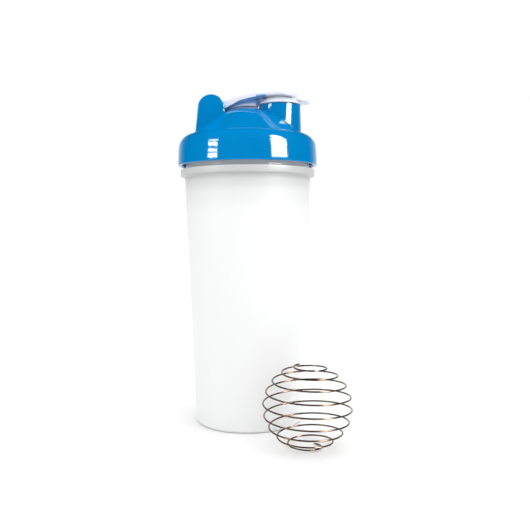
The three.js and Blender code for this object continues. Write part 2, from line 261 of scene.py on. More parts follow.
def new_material(name):
    material = bpy.data.materials.new(name)
    material.use_nodes = True
    nodes = material.node_tree.nodes
    return material, nodes, material.node_tree.links, nodes["Principled BSDF"]


def noise(nodes, links, scale, detail=3.0, stretch=(1, 1, 1)):
    """Noise in object space, scale in features per metre."""
    place = nodes.new("ShaderNodeTexCoord")
    mapping = nodes.new("ShaderNodeMapping")
    mapping.inputs["Scale"].default_value = stretch
    texture = nodes.new("ShaderNodeTexNoise")
    texture.inputs["Scale"].default_value = scale
    texture.inputs["Detail"].default_value = detail
    links.new(place.outputs["Object"], mapping.inputs["Vector"])
    links.new(mapping.outputs["Vector"], texture.inputs["Vector"])
    return texture.outputs["Fac"]


def spread(nodes, links, value, low, high):
    """Maps noise, which keeps near 0.5, to a range."""
    ranged = nodes.new("ShaderNodeMapRange")
    ranged.inputs["From Min"].default_value = 0.3
    ranged.inputs["From Max"].default_value = 0.7
    ranged.inputs["To Min"].default_value = low
    ranged.inputs["To Max"].default_value = high
    links.new(value, ranged.inputs["Value"])
    return ranged.outputs["Result"]


def blended(nodes, links, value, first, second):
    """Mixes two colours by a value."""
    ramp = nodes.new("ShaderNodeValToRGB")
    ramp.color_ramp.elements[0].position = 0.3
    ramp.color_ramp.elements[1].position = 0.7
    ramp.color_ramp.elements[0].color = (*first, 1)
    ramp.color_ramp.elements[1].color = (*second, 1)
    links.new(value, ramp.inputs["Fac"])
    return ramp.outputs["Color"]


def bump(nodes, links, shader, height, strength, distance_mm):
    made = nodes.new("ShaderNodeBump")
    made.inputs["Strength"].default_value = strength
    made.inputs["Distance"].default_value = distance_mm * MM
    links.new(height, made.inputs["Height"])
    links.new(made.outputs["Normal"], shader.inputs["Normal"])


def moulded_plastic(name, deep, light, gloss, ripple=0.05):
    """Moulded plastic: faint clouding of the colour, uneven gloss and a slight orange peel."""
    material, nodes, links, shader = new_material(name)
    cloud = noise(nodes, links, 60)
    links.new(blended(nodes, links, cloud, deep, light), shader.inputs["Base Color"])
    fine = noise(nodes, links, 420, 4)
    links.new(spread(nodes, links, fine, *gloss), shader.inputs["Roughness"])
    bump(nodes, links, shader, noise(nodes, links, 650, 2), ripple, 0.05)
    return material, shader


def lid_material():
    darker, lighter = (0.0, 0.2, 0.5), (0.0, 0.215, 0.53)
    material, shader = moulded_plastic("lid_blue", darker, lighter, (0.045, 0.07), 0.015)
    shader.inputs["IOR"].default_value = 1.5
    return material


def cap_material():
    """Glossy white. The arm's downward faces, which face the blue lid, carry a painted blue shade that
    stands in for the shade and the blue light thrown up from the lid.
    """
    material, nodes, links, shader = new_material("cap_white")
    cloud = blended(nodes, links, noise(nodes, links, 60), (0.77, 0.79, 0.86), (0.81, 0.83, 0.89))
    colour = nodes.new("ShaderNodeMix")
    colour.data_type = "RGBA"
    # Painted blue shade under the arm, in place of shade and light thrown up by the blue lid.
    colour.inputs["B"].default_value = (0.2, 0.43, 0.76, 1)
    links.new(painted_blue_shade_under_arm(nodes, links), colour.inputs["Factor"])
    links.new(cloud, colour.inputs["A"])
    links.new(colour.outputs["Result"], shader.inputs["Base Color"])
    fine = noise(nodes, links, 420, 4)
    links.new(spread(nodes, links, fine, 0.18, 0.26), shader.inputs["Roughness"])
    bump(nodes, links, shader, noise(nodes, links, 650, 2), 0.04, 0.05)
    shader.inputs["IOR"].default_value = 1.49
    return material


def painted_blue_shade_under_arm(nodes, links):
    """1 on the arm's downward faces and on the web in front of the keel, 0 elsewhere: the mask of the
    painted blue shade under the arm.
    """
    place = nodes.new("ShaderNodeTexCoord")
    normal, position = nodes.new("ShaderNodeSeparateXYZ"), nodes.new("ShaderNodeSeparateXYZ")
    links.new(place.outputs["Normal"], normal.inputs["Vector"])
    links.new(place.outputs["Object"], position.inputs["Vector"])
    x, z = position.outputs["X"], position.outputs["Z"]
    downwards = ranged(nodes, links, normal.outputs["Z"], -0.1, -0.85)
    in_web = ranged(nodes, links, x, (HINGE.x + 30) * MM, (HINGE.x + 30.3) * MM)
    facing_lid = combined(nodes, links, "MAXIMUM", downwards, in_web)
    below_plate = ranged(nodes, links, z, (UNDERSIDE_Z + 0.5) * MM, (UNDERSIDE_Z + 0.2) * MM)
    behind_bell = ranged(nodes, links, x, (SPOUT_X - 12.9) * MM, (SPOUT_X - 13.9) * MM)
    near_plate = ranged(nodes, links, z, (UNDERSIDE_Z - 0.8) * MM, (UNDERSIDE_Z - 0.4) * MM)
    up_to_bell = ranged(nodes, links, x, (SPOUT_X - 9.4) * MM, (SPOUT_X - 9.8) * MM)
    above_bell = combined(nodes, links, "MULTIPLY", near_plate, up_to_bell)
    region = combined(nodes, links, "MAXIMUM", behind_bell, above_bell)
    region = combined(nodes, links, "MULTIPLY", region, below_plate)
    return combined(nodes, links, "MULTIPLY", region, facing_lid)


def ranged(nodes, links, value, zero_at, one_at):
    """A smooth step of a value."""
    step = nodes.new("ShaderNodeMapRange")
    step.interpolation_type = "SMOOTHSTEP"
    step.inputs["From Min"].default_value = min(zero_at, one_at)
    step.inputs["From Max"].default_value = max(zero_at, one_at)
    step.inputs["To Min"].default_value = 0.0 if zero_at < one_at else 1.0
    step.inputs["To Max"].default_value = 1.0 if zero_at < one_at else 0.0
    links.new(value, step.inputs["Value"])
    return step.outputs["Result"]


def combined(nodes, links, operation, first, second):
    made = nodes.new("ShaderNodeMath")
    made.operation = operation
    links.new(first, made.inputs[0])
    links.new(second, made.inputs[1])
    return made.outputs["Value"]


def seal_material(name):
    material, shader = moulded_plastic(name, (0.72, 0.74, 0.76), (0.78, 0.8, 0.82), (0.5, 0.62), 0.15)
    shader.inputs["IOR"].default_value = 1.41
    return material


def cup_material():
    """Frosted polypropylene: satin grain, faint upright flow marks, and painted shade greying the shoulder
    under the collar and lid.
    """
    material, nodes, links, shader = new_material("cup_frosted")
    flow = noise(nodes, links, 30, 3, (1, 1, 0.12))
    clear = blended(nodes, links, flow, (0.95, 0.955, 0.96), (0.97, 0.973, 0.976))
    # Darkens the colour with the painted shade under the collar and lid.
    painted_shade_mix = nodes.new("ShaderNodeMix")
    painted_shade_mix.data_type = "RGBA"
    painted_shade_mix.blend_type = "MULTIPLY"
    painted_shade_mix.inputs["Factor"].default_value = 1.0
    links.new(clear, painted_shade_mix.inputs["A"])
    links.new(painted_shade_under_collar(nodes, links), painted_shade_mix.inputs["B"])
    links.new(painted_shade_mix.outputs["Result"], shader.inputs["Base Color"])
    grain = noise(nodes, links, 900, 4)
    neck_from, neck_to = (COLLAR_TOP_Z - 0.4) * MM, (COLLAR_TOP_Z + 0.2) * MM
    on_neck = ranged(nodes, links, object_height(nodes, links), neck_from, neck_to)
    polish = scaled(nodes, links, on_neck, -0.85, 1.0)
    satin = spread(nodes, links, grain, 0.3, 0.4)
    links.new(combined(nodes, links, "MULTIPLY", satin, polish), shader.inputs["Roughness"])
    bump(nodes, links, shader, grain, 0.06, 0.03)
    shader.inputs["IOR"].default_value = 1.49
    shader.inputs["Transmission Weight"].default_value = 0.2
    return material


def object_height(nodes, links):
    split = nodes.new("ShaderNodeSeparateXYZ")
    links.new(nodes.new("ShaderNodeTexCoord").outputs["Object"], split.inputs["Vector"])
    return split.outputs["Z"]


def painted_shade_under_collar(nodes, links):
    """Painted shade by height, for the shade of the collar and lid: nearly none on the wall, most just
    under the collar, less again on the neck.
    """
    along = nodes.new("ShaderNodeMapRange")
    along.inputs["From Min"].default_value = (COLLAR_UNDER_Z - 25) * MM
    along.inputs["From Max"].default_value = (RIM_Z - 10) * MM
    links.new(object_height(nodes, links), along.inputs["Value"])
    ramp = nodes.new("ShaderNodeValToRGB")
    ramp.color_ramp.interpolation = "EASE"
    stops = ((0.0, 1.0), (0.35, 0.93), (0.58, 0.8), (0.69, 0.62), (0.78, 0.7), (0.84, 0.78))
    elements = ramp.color_ramp.elements
    while len(elements) < len(stops):
        elements.new(0.5)
    for element, (place, grey) in zip(elements, stops):
        element.position = place
        element.color = (grey, grey, grey, 1)
    links.new(along.outputs["Result"], ramp.inputs["Fac"])
    return ramp.outputs["Color"]


def wire_material():
    """Drawn stainless wire: fine marks along the wire, warm and dark patches."""
    material, nodes, links, shader = new_material("wire_steel")
    shader.inputs["Metallic"].default_value = 1.0
    tone = noise(nodes, links, 160, 3)
    colour = blended(nodes, links, tone, (0.07, 0.04, 0.025), (0.2, 0.14, 0.1))
    links.new(colour, shader.inputs["Base Color"])
    drawn = noise(nodes, links, 900, 3, (1, 1, 6))
    links.new(spread(nodes, links, drawn, 0.14, 0.24), shader.inputs["Roughness"])
    bump(nodes, links, shader, drawn, 0.1, 0.02)
    return material


# ---- Thread ridges ----

def thread_raise(thread, radius, outwards):
    """The height of a thread ridge at a point of the wall of that radius."""
    root, crest, fade = 1.3, 0.6, 0.05

    def raised(r, z, angle):
        if abs(r - radius) > 0.05:
            return 0
        best = 0
        for turn in range(3):
            along = angle / (2 * pi) + turn
            ends = min(along - thread["first"], thread["last"] - along) / fade
            off = abs(z - thread["z"] - THREAD_PITCH * along)
            side = (root - off) / (root - crest)
            best = max(best, min(1, max(0, side), max(0, ends)))
        return best * THREAD_HEIGHT * outwards

    return raised


# ---- Cup ----

def wall_radius(z):
    return FLOOR_RADIUS + TAPER * z


def cup_outline():
    """Outside from the middle of the base up to the rim, then the inside back down."""
    outside = rounded([
        (0, 0), (10.8, 0, 0.5), (12, 1.2, 0.5), (27.8, 1.2, 0.6), (29, 0, 0.5),
        (wall_radius(0), 0, 2.6), (wall_radius(COLLAR_UNDER_Z), COLLAR_UNDER_Z + 0.7, 1.0),
        (LIP_RADIUS - 0.2, COLLAR_FACE_Z - 0.5, 0.6), (LIP_RADIUS, COLLAR_TOP_Z, 0.5),
        (NECK_RADIUS, COLLAR_TOP_Z - 0.1, 1.0), (NECK_RADIUS, RIM_Z, 0.7), (NECK_INNER, RIM_Z, 0.6),
        (NECK_INNER, COLLAR_TOP_Z, 3), (wall_radius(COLLAR_UNDER_Z) - WALL, COLLAR_UNDER_Z, 6),
        (wall_radius(0) - WALL, BASE_THICKNESS, 7.5), (0, BASE_THICKNESS),
    ], steps=8)
    return subdivided(outside, COLLAR_TOP_Z + 0.9, RIM_Z, 0.35)


def make_cup():
    raised = thread_raise(NECK_THREAD, NECK_RADIUS, 1)
    cup = revolve("cup_shell", cup_outline(), 192, raised)
    return finish_piece(cup, cup_material(), "cup", "cup")


# ---- Lid ----

def dome_z(radius, wall=0.0):
    return DOME_CENTRE_Z + sqrt((DOME_RADIUS - wall) ** 2 - radius ** 2)


def lid_top_z(radius):
    """Height of the lid's outer surface at a distance from its axis."""
    if radius <= CONE_TOP[0]:
        return dome_z(radius)
    if radius <= CREASE[0]:
        share = (radius - CONE_TOP[0]) / (CREASE[0] - CONE_TOP[0])
        return CONE_TOP[1] + (CREASE[1] - CONE_TOP[1]) * share
    across = min(radius - SHOULDER_CENTRE[0], SHOULDER_RADIUS)
    return SHOULDER_CENTRE[1] + sqrt(SHOULDER_RADIUS ** 2 - across ** 2)


def dome_points(wall):
    reach = CONE_TOP[0] - wall / 2
    return [(reach * (1 - i / 14), dome_z(reach * (1 - i / 14), wall)) for i in range(1, 15)]


def lid_blank():
    shoulder = arc_points(SHOULDER_CENTRE, SHOULDER_RADIUS, 5, 78, 14)
    skirt = [(0, SKIRT_Z), (SKIRT_RADIUS, SKIRT_Z, 0.9), *skirt_side(SKIRT_Z + 0.95, shoulder[0])]
    cone = [(CREASE[0] + 0.5, CREASE[1] - 0.5, 3.0), (CONE_TOP[0], dome_z(CONE_TOP[0]), 12)]
    return revolve("lid_shell", rounded([*skirt, *shoulder, *cone, *dome_points(0)], steps=8), 192)


def skirt_side(start_z, end):
    """The skirt's slightly crowned side, leaning in by 0.5 degrees at its rim and 5 degrees at its top."""
    drop, steps = SKIRT_RADIUS - end[0], 12
    heights = [start_z + (end[1] - start_z) * i / steps for i in range(steps)]
    slope = tan(radians(0.5))
    rise = end[1] - start_z
    bend = (drop - slope * rise) / rise ** 2
    return [(SKIRT_RADIUS - slope * (z - start_z) - bend * (z - start_z) ** 2, z) for z in heights]


def lid_cavity():
    rib_out, rib_in, rib_z = NECK_INNER - 0.6, NECK_INNER - 2.4, GROOVE_TOP_Z - 5.4
    below = SKIRT_Z - 6
    outline = rounded([
        (0, below), (SKIRT_INNER, below), (SKIRT_INNER, GROOVE_TOP_Z - 2, 0.5),
        (SKIRT_INNER - 0.6, GROOVE_TOP_Z, 0.5), (rib_out, GROOVE_TOP_Z, 0.3), (rib_out, rib_z, 0.7),
        (rib_in, rib_z, 0.7), (rib_in, CREASE[1] - 3.4, 1.5), (CREASE[0] - LID_WALL, CREASE[1] - 1.2, 2),
        (CONE_TOP[0] - LID_WALL / 2, dome_z(CONE_TOP[0] - LID_WALL / 2, LID_WALL), 8),
        *dome_points(LID_WALL),
    ], steps=6)
    outline = subdivided(outline, SKIRT_Z - 1, GROOVE_TOP_Z - 2.5, 0.35)
    return revolve("cavity", outline, 192, thread_raise(LID_THREAD, SKIRT_INNER, -1))


def skirt_edge_cutter():
    """Rounds the inner edge of the skirt's rim."""
    flare = rounded([
        (SKIRT_INNER - 3, SKIRT_Z - 2), (SKIRT_INNER + 0.9, SKIRT_Z - 2), (SKIRT_INNER + 0.9, SKIRT_Z, 0.1),
        (SKIRT_INNER, SKIRT_Z + 0.9, 1.2), (SKIRT_INNER - 0.4, SKIRT_Z + 1.6),
        (SKIRT_INNER - 3, SKIRT_Z + 1.6),
    ], closed=True)
    return revolve("edge", flare, 192)


def spout_solid():
    outline = rounded([
        (0, SPOUT_BASE_Z - 4), (SPOUT_BASE_RADIUS, SPOUT_BASE_Z - 4), (SPOUT_BASE_RADIUS, SPOUT_BASE_Z, 20),
        (SPOUT_TOP_RADIUS, SPOUT_TOP_Z, 0.6), (0, SPOUT_TOP_Z),
    ], steps=8)
    return revolve("spout", outline, 96, centre=(SPOUT_X, 0))


def bore_solid():
    lip = 0.8
    outline = rounded([
        (0, SPOUT_BASE_Z - 8), (BORE_RADIUS, SPOUT_BASE_Z - 8), (BORE_RADIUS, SPOUT_TOP_Z - lip, 1.2),
        (BORE_RADIUS + lip, SPOUT_TOP_Z + 0.05, 0.2), (BORE_RADIUS + lip, SPOUT_TOP_Z + 3),
        (0, SPOUT_TOP_Z + 3),
    ], steps=6)
    return revolve("bore", outline, 96, centre=(SPOUT_X, 0))


def foot_fillet(name, rim, radius):
    """A concave fillet from an upright wall to the lid's top. rim is [(point, normal)] in plan."""
    def loop(offset, rise):
        points = []
        for (x, y), (nx, ny) in rim:
            px, py = x + nx * offset, y + ny * offset
            points.append((px, py, lid_top_z(hypot(px, py)) + rise))
        return points

    steps = [radians(90 * i / 7) for i in range(8)]
    curve = [(radius * (1 - cos(a)) - (0.03 if a == 0 else 0), radius * (1 - sin(a))) for a in steps]
    section = curve + [(radius, -1.0), (-0.5, -1.0), (-0.5, radius)]
    return loft(name, [loop(offset, rise) for offset, rise in section], closed_along=True)


def spout_rim():
    steps = 96
    turns = [2 * pi * i / steps for i in range(steps)]
    slope = (SPOUT_BASE_RADIUS - SPOUT_TOP_RADIUS) / (SPOUT_TOP_Z - SPOUT_BASE_Z)
    rim = []
    for a in turns:
        x, y = SPOUT_X + SPOUT_BASE_RADIUS * cos(a), SPOUT_BASE_RADIUS * sin(a)
        radius = SPOUT_BASE_RADIUS - slope * (lid_top_z(hypot(x, y)) - SPOUT_BASE_Z)
        rim.append(((SPOUT_X + radius * cos(a), radius * sin(a)), (cos(a), sin(a))))
    return rim


def ear_loop(inset, y):
    """The ear's outline, drawn in by inset, at one place across the bottle."""
    radius = EAR_RADIUS - inset
    front = HINGE.x + radius
    angles = [pi * i / 40 for i in range(41)]
    top = [(HINGE.x + radius * cos(a), y, HINGE.z + radius * sin(a)) for a in angles]
    return [(EAR_ROOT_REAR_X + inset, y, EAR_ROOT_Z), (front, y, EAR_ROOT_Z), *top]


def ear(side):
    """One ear with rounded edges; its foot reaches into the lid's wall."""
    edge = 0.8
    turns = [radians(90 * i / 5) for i in range(6)]
    near = [(edge * (1 - sin(a)), EAR_OUTER_Y - edge * (1 - cos(a))) for a in turns]
    far = [(edge * (1 - sin(a)), EAR_INNER_Y + edge * (1 - cos(a))) for a in reversed(turns)]
    near.sort(key=lambda place: -place[1])
    far.sort(key=lambda place: -place[1])
    loops = [ear_loop(inset, side * y) for inset, y in near + far]
    return loft("ear", loops)


def ear_rim(side):
    """The ear's outline in plan where it meets the lid, with rounded corners."""
    corner = 0.8
    rear, front = EAR_ROOT_REAR_X + 0.6, HINGE.x + EAR_RADIUS
    low, high = EAR_INNER_Y, EAR_OUTER_Y
    corners = [(rear, low), (front, low), (front, high), (rear, high)]
    rim = []
    for i, (x, y) in enumerate(corners):
        before, after = Vector(corners[i - 1]), Vector(corners[(i + 1) % 4])
        here = Vector((x, y))
        inwards = (before - here).normalized() + (after - here).normalized()
        centre = here + inwards * corner
        for step in range(7):
            angle = radians(180 + 90 * i + 15 * step)
            normal = (cos(angle), side * sin(angle))
            rim.append(((centre.x + corner * cos(angle), side * (centre.y + corner * sin(angle))), normal))
        rim += straight_stretch(rim[-1], after, centre, corner, i, side)
    return rim


def straight_stretch(last, after, centre, corner, side_index, side):
    """Points between two corners of the ear's outline, about a millimetre apart."""
    (x, y), normal = last
    along = Vector((after.x - centre.x, after.y - centre.y))
    axis = 0 if side_index % 2 == 0 else 1
    length = abs(along[axis]) - corner
    direction = Vector((1, 0) if axis == 0 else (0, 1)) * (1 if along[axis] > 0 else -1)
    count = max(1, int(length))
    moves = [direction * (length * k / count) for k in range(1, count)]
    return [((x + m.x, y + side * m.y), normal) for m in moves]


def rod_across(name, stations, segments=48):
    """A turned rod along Y through the hinge: [(y, radius), ...]."""
    loops = []
    for y, radius in stations:
        turns = [2 * pi * i / segments for i in range(segments)]
        loops.append([(HINGE.x + radius * cos(a), y, HINGE.z + radius * sin(a)) for a in turns])
    return loft(name, loops)


def make_lid():
    """The lid as one moulding: blank, spout, ears and foot fillets, then hollowed out."""
    lid = lid_blank()
    feet = [foot_fillet("foot", spout_rim(), 0.8)]
    feet += [foot_fillet("foot", ear_rim(side), 0.8) for side in (-1, 1)]
    combine(lid, "UNION", spout_solid(), ear(-1), ear(1), *feet)
    socket = rod_across("socket", [(-11.3, 2.5), (11.3, 2.5)])
    combine(lid, "DIFFERENCE", lid_cavity(), bore_solid(), skirt_edge_cutter(), socket)
    return finish_piece(lid, lid_material(), "lid", "lid")


# ---- Soft seals ----

def make_seal_ring():
    inner, outer = NECK_INNER - 0.2, SEAL_HIGH.x
    low, high = SEAL_LOW.z, SEAL_HIGH.z
    corners = [(inner, low, 0.5), (outer, low, 0.5), (outer, high, 0.5), (inner, high, 0.5)]
    outline = rounded(corners, closed=True)
    ring = revolve("seal_ring_soft", outline, 144)
    return finish_piece(ring, seal_material("seal_soft"), "seal", "lid_seal_ring")


def make_plug():
    tip, top = PLUG_LOW.z, PLUG_HIGH.z
    flange = tip + 5.7
    outline = rounded([
        (0, tip + 6.4), (8.4, tip + 6.4, 1), (8.4, tip, 0.4), (10.4, tip, 0.8), (10.6, tip + 1.2, 1),
        (11.15, tip + 2.4, 0.6), (10.8, tip + 3.4, 0.8), (11.1, flange, 0.2), (12.2, flange, 0.3),
        (12.2, flange + 0.7, 0.3), (8.2, top, 0.4), (0, top),
    ], steps=6)
    plug = revolve("spout_plug_soft", outline, 96, centre=(SPOUT_X, 0))
    return finish_piece(plug, seal_material("plug_soft"), "cap", "spout_plug")


# ---- Flip cap ----

DISC_RADIUS = (CAP_HIGH.y - CAP_LOW.y) / 2
DISC_FRONT = 13.1
HUB_RADIUS = 4.2
HUB_HALF = 9.1
WIDENING_X = HINGE.x + 11.9
UNDERSIDE_Z = CAP_HIGH.z - 2.2
BELL_RIM_Z = CAP_HIGH.z - 6.9
TOP_LINE = [(-0.1, -6.2), (7.9, -5.1), (16.3, -2.7), (25.9, -0.9), (34.4, -0.1), (46.5, 0), (53.3, -0.4),
            (59.4, -1.3), (64, -2.4)]
LOWER_LINE = [(-0.1, -13), (7.9, -10.5), (13.4, -8), (18.9, -5.4), (25.6, -3.9), (29.9, -3.2), (34.9, -2.5),
              (46.5, -2.2), (64, -2.9)]


def smooth_line(line, x):
    """A smooth height through points given from the hinge in X and from the cap's top in Z."""
    xs = [HINGE.x + p[0] for p in line]
    zs = [CAP_HIGH.z + p[1] for p in line]
    x = min(max(x, xs[0]), xs[-1])
    k = max(i for i in range(len(xs) - 1) if xs[i] <= x)
    slopes = [line_slope(xs, zs, i) for i in (k, k + 1)]
    width = xs[k + 1] - xs[k]
    t = (x - xs[k]) / width
    ease = (1 + 2 * t) * (1 - t) ** 2 * zs[k] + t * t * (3 - 2 * t) * zs[k + 1]
    return ease + width * (t * (1 - t) ** 2 * slopes[0] + t * t * (t - 1) * slopes[1])


def line_slope(xs, zs, i):
    low, high = max(i - 1, 0), min(i + 1, len(xs) - 1)
    return (zs[high] - zs[low]) / (xs[high] - xs[low])


def cap_plan():
    """The arm and disc from above: [(point, outward normal)], counter-clockwise."""
    span = SPOUT_X - WIDENING_X
    tangent = asin(DISC_RADIUS / hypot(span, HUB_HALF)) - atan2(HUB_HALF, span)
    meets = pi / 2 + tangent
    arc = [-meets + 2 * meets * i / 72 for i in range(73)]
    disc = [disc_point(a) for a in arc]
    side = edge_between((HINGE.x, -HUB_HALF), (WIDENING_X, -HUB_HALF), 12)
    side += edge_between((WIDENING_X, -HUB_HALF), disc[0][0], 26)
    mirrored = [((x, -y), (nx, -ny)) for (x, y), (nx, ny) in reversed(side)]
    back = edge_between((HINGE.x, HUB_HALF), (HINGE.x, -HUB_HALF), 16)
    return [*side, *disc, *mirrored, *back[1:]]


def disc_point(angle):
    """A point of the disc's edge and its normal; the front half is flattened."""
    reach = DISC_FRONT if cos(angle) > 0 else DISC_RADIUS
    normal = Vector((cos(angle) / reach, sin(angle) / DISC_RADIUS)).normalized()
    return (SPOUT_X + reach * cos(angle), DISC_RADIUS * sin(angle)), tuple(normal)


def edge_between(start, end, steps):
    """Points along a straight edge, without its last point, with the normal to its right."""
    dx, dy = end[0] - start[0], end[1] - start[1]
    length = hypot(dx, dy)
    normal = (dy / length, -dx / length)
    return [((start[0] + dx * i / steps, start[1] + dy * i / steps), normal) for i in range(steps)]


def cap_plate():
    """The arched plate with rounded edges and an underside along the lower line."""
    plan = cap_plan()
    edge, lip, rim = 0.9, 0.5, 1.5
    spine_start, spine_end = HINGE.x + HUB_HALF, SPOUT_X

    def loop(inset, height, towards_spine=0.0):
        points = []
        for (x, y), (nx, ny) in plan:
            px, py = x - nx * inset, y - ny * inset
            sx = min(max(px, spine_start), spine_end)
            px, py = px + (sx - px) * towards_spine, py * (1 - towards_spine)
            points.append((px, py, height(px)))
        return points

    def top(x):
        return smooth_line(TOP_LINE, x)

    def lower(x):
        return smooth_line(LOWER_LINE, x)

    shares = (1, 0.8, 0.6, 0.4, 0.25, 0.12, 0.05)
    loops = [loop(rim, lambda x, k=k: top(x) + 0.35 * k * (2 - k), k) for k in shares]
    for i in range(7):
        a = radians(90 * i / 6)
        loops.append(loop(edge * (1 - sin(a)), lambda x, a=a: top(x) - edge * (1 - cos(a))))
    for i in range(5):
        a = radians(90 * i / 4)
        loops.append(loop(lip * (1 - cos(a)), lambda x, a=a: lower(x) + lip * (1 - sin(a))))
    loops += [loop(rim, lower, k) for k in (0.05, 0.3, 0.6, 1)]
    return skin("flip_cap_shell", loops)


def skin(name, loops):
    """Joins loops whose first and last collapse onto a spine."""
    count = len(loops[0])
    vertices = [p for one in loops for p in one]
    faces = []
    for row in range(len(loops) - 1):
        here, there = row * count, (row + 1) * count
        for i in range(count):
            after = (i + 1) % count
            faces.append((here + i, here + after, there + after, there + i))
    return mesh_object(name, vertices, faces)


def bell_outline():
    """The bell over the spout's mouth."""
    wall = 1.2
    outer = [(15.2, BELL_RIM_Z, 0.4), (14.2, BELL_RIM_Z + 1.7, 6), (12.8, BELL_RIM_Z + 3.0, 6),
             (9.6, UNDERSIDE_Z, 1), (9.2, UNDERSIDE_Z + 0.8)]
    inner = [(r - wall, z, *f) for r, z, *f in reversed(outer)]
    return rounded(outer + inner, closed=True, steps=5)


def keel():
    """The hull under the arm, down to just above the dome."""
    rear, front = HINGE.x + 8.5, HINGE.x + 29.9
    steps = 22
    loops = []
    for i in range(steps + 1):
        x = rear + (front - rear) * i / steps
        loops.append(keel_section(x))
    return loft("keel", loops)


def keel_section(x):
    """An upright wall above the dome that sweeps out under the plate in a cove."""
    gap, wall, edge = 0.9, 4.0, 0.6
    high = smooth_line(LOWER_LINE, x) + 0.1
    low = min(dome_z(abs(x)) + gap, high - 0.8)
    plate_half = HUB_HALF + max(0, x - WIDENING_X) * 0.2
    reach, rise = plate_half - 1.6 - wall, 0.7 * (high - low)
    turns = [radians(90 * i / 8) for i in range(9)]
    cove = [(wall + reach * (1 - cos(a)), high - rise * (1 - sin(a))) for a in turns]
    right = [(wall - edge, low), (wall - 0.15, low + 0.15), *cove, (wall + reach, high + 0.4)]
    profile = right + [(-y, z) for y, z in reversed(right)]
    return [(x, y, z) for y, z in profile]


def keel_web():
    """The narrow web that joins the keel to the bell, its front following the bell's side."""
    half = 2.4
    low, high = dome_z(SPOUT_X - 14.6) + 1.0, UNDERSIDE_Z + 0.3
    rear = HINGE.x + 28.9
    outline = [(rear, high), (rear, low), (SPOUT_X - 14.6, low), (SPOUT_X - 14.6, BELL_RIM_Z + 0.2),
               (SPOUT_X - 13.6, BELL_RIM_Z + 1.7), (SPOUT_X - 12.2, BELL_RIM_Z + 3), (SPOUT_X - 9.3, high)]
    return loft("web", [[(x, y, z) for x, z in outline] for y in (-half, half)])


def thumb_tab():
    """The drooping lip at the front of the disc."""
    half, root, tip = 8.5, SPOUT_X + 7.8, CAP_HIGH.x
    plan = [((root, -half), (-0.7, -0.7))]
    turns = [-pi / 2 + pi * i / 40 for i in range(41)]
    plan += [((tip - half + half * cos(a), half * sin(a)), (cos(a), sin(a))) for a in turns]
    plan.append(((root, half), (-0.7, 0.7)))

    def top(x):
        t = max(0, x - root) / (tip - root)
        return UNDERSIDE_Z + 0.5 - 1.3 * t - 0.6 * t * t

    def loop(inset, drop):
        return [(x - nx * inset, y - ny * inset, top(x - nx * inset) - drop) for (x, y), (nx, ny) in plan]

    thickness, edge = 2.4, 0.8
    section = [(edge * (1 - sin(a)), edge * (1 - cos(a))) for a in (radians(18 * i) for i in range(6))]
    under = [(inset, thickness - drop) for inset, drop in reversed(section)]
    return loft("tab", [loop(inset, drop) for inset, drop in section + under])


def hub():
    """The hub with its two trunnions, rounded at the shoulders."""
    trunnion, end, edge = 2.2, 10.9, 0.5
    half = [(0.0, HUB_RADIUS), (HUB_HALF - edge, HUB_RADIUS),
            (HUB_HALF - 0.15, HUB_RADIUS - 0.15), (HUB_HALF, HUB_RADIUS - edge)]
    half += [(HUB_HALF, trunnion), (end - 0.4, trunnion), (end, trunnion - 0.4)]
    stations = [(-y, r) for y, r in reversed(half[1:])] + half
    return rod_across("hub", stations, 64)


def make_flip_cap():
    cap = cap_plate()
    bell = revolve("bell", bell_outline(), 96, centre=(SPOUT_X, 0))
    combine(cap, "UNION", keel(), keel_web(), hub(), thumb_tab())
    combine(cap, "DIFFERENCE", bell_clearance())
    combine(cap, "UNION", bell)
    return finish_piece(cap, cap_material(), "cap", "flip_cap", crease=40)


def bell_clearance():
    """Space inside the bell, clear of the tab's root."""
    outline = [(0, BELL_RIM_Z - 1), (14.1, BELL_RIM_Z - 1), (14.0, BELL_RIM_Z),
               (13.0, BELL_RIM_Z + 1.7), (8.4, UNDERSIDE_Z),
               (0, UNDERSIDE_Z)]
    return revolve("clearance", outline, 96, centre=(SPOUT_X, 0))


# ---- Whisk ball ----

BALL_CENTRE = (BALL_LOW + BALL_HIGH) / 2
WIRE_RADIUS = 0.5
COIL_RADIUS = (BALL_HIGH.x - BALL_LOW.x) / 2 - WIRE_RADIUS
COIL_TURNS = 8.8
COIL_START = radians(125)
POLE_ANGLE = radians(15)
COIL_HALF_HEIGHT = ((BALL_HIGH.z - BALL_LOW.z) / 2 - WIRE_RADIUS) / cos(POLE_ANGLE)


def coil_point(t):
    """A point on the wire's line, from the top end, 0, to the bottom end, 1."""
    polar = POLE_ANGLE + (pi - 2 * POLE_ANGLE) * t
    angle = COIL_START + 2 * pi * COIL_TURNS * t
    ring = COIL_RADIUS * sin(polar)
    offset = Vector((ring * cos(angle), ring * sin(angle), COIL_HALF_HEIGHT * cos(polar)))
    return BALL_CENTRE + offset


def wire_loop(t, radius, sides=12):
    """A round section of the wire, square to its line."""
    step = 1e-4
    along = (coil_point(t + step) - coil_point(t - step)).normalized()
    outwards = (coil_point(t) - BALL_CENTRE)
    outwards = (outwards - along * outwards.dot(along)).normalized()
    third = along.cross(outwards)
    turns = [2 * pi * i / sides for i in range(sides)]
    centre = coil_point(t)
    return [tuple(centre + (outwards * cos(a) + third * sin(a)) * radius) for a in turns]


def make_whisk_ball():
    steps = 560
    rounding = [0.35, 0.75, 0.95]
    shares = rounding + [1.0] * (steps - 5) + rounding[::-1]
    loops = [wire_loop(i / (len(shares) - 1), WIRE_RADIUS * share) for i, share in enumerate(shares)]
    wire = loft("whisk_wire", loops)
    return finish_piece(wire, wire_material(), "whisk_ball", "whisk_ball", crease=60)


# ---- Stage, light and camera ----

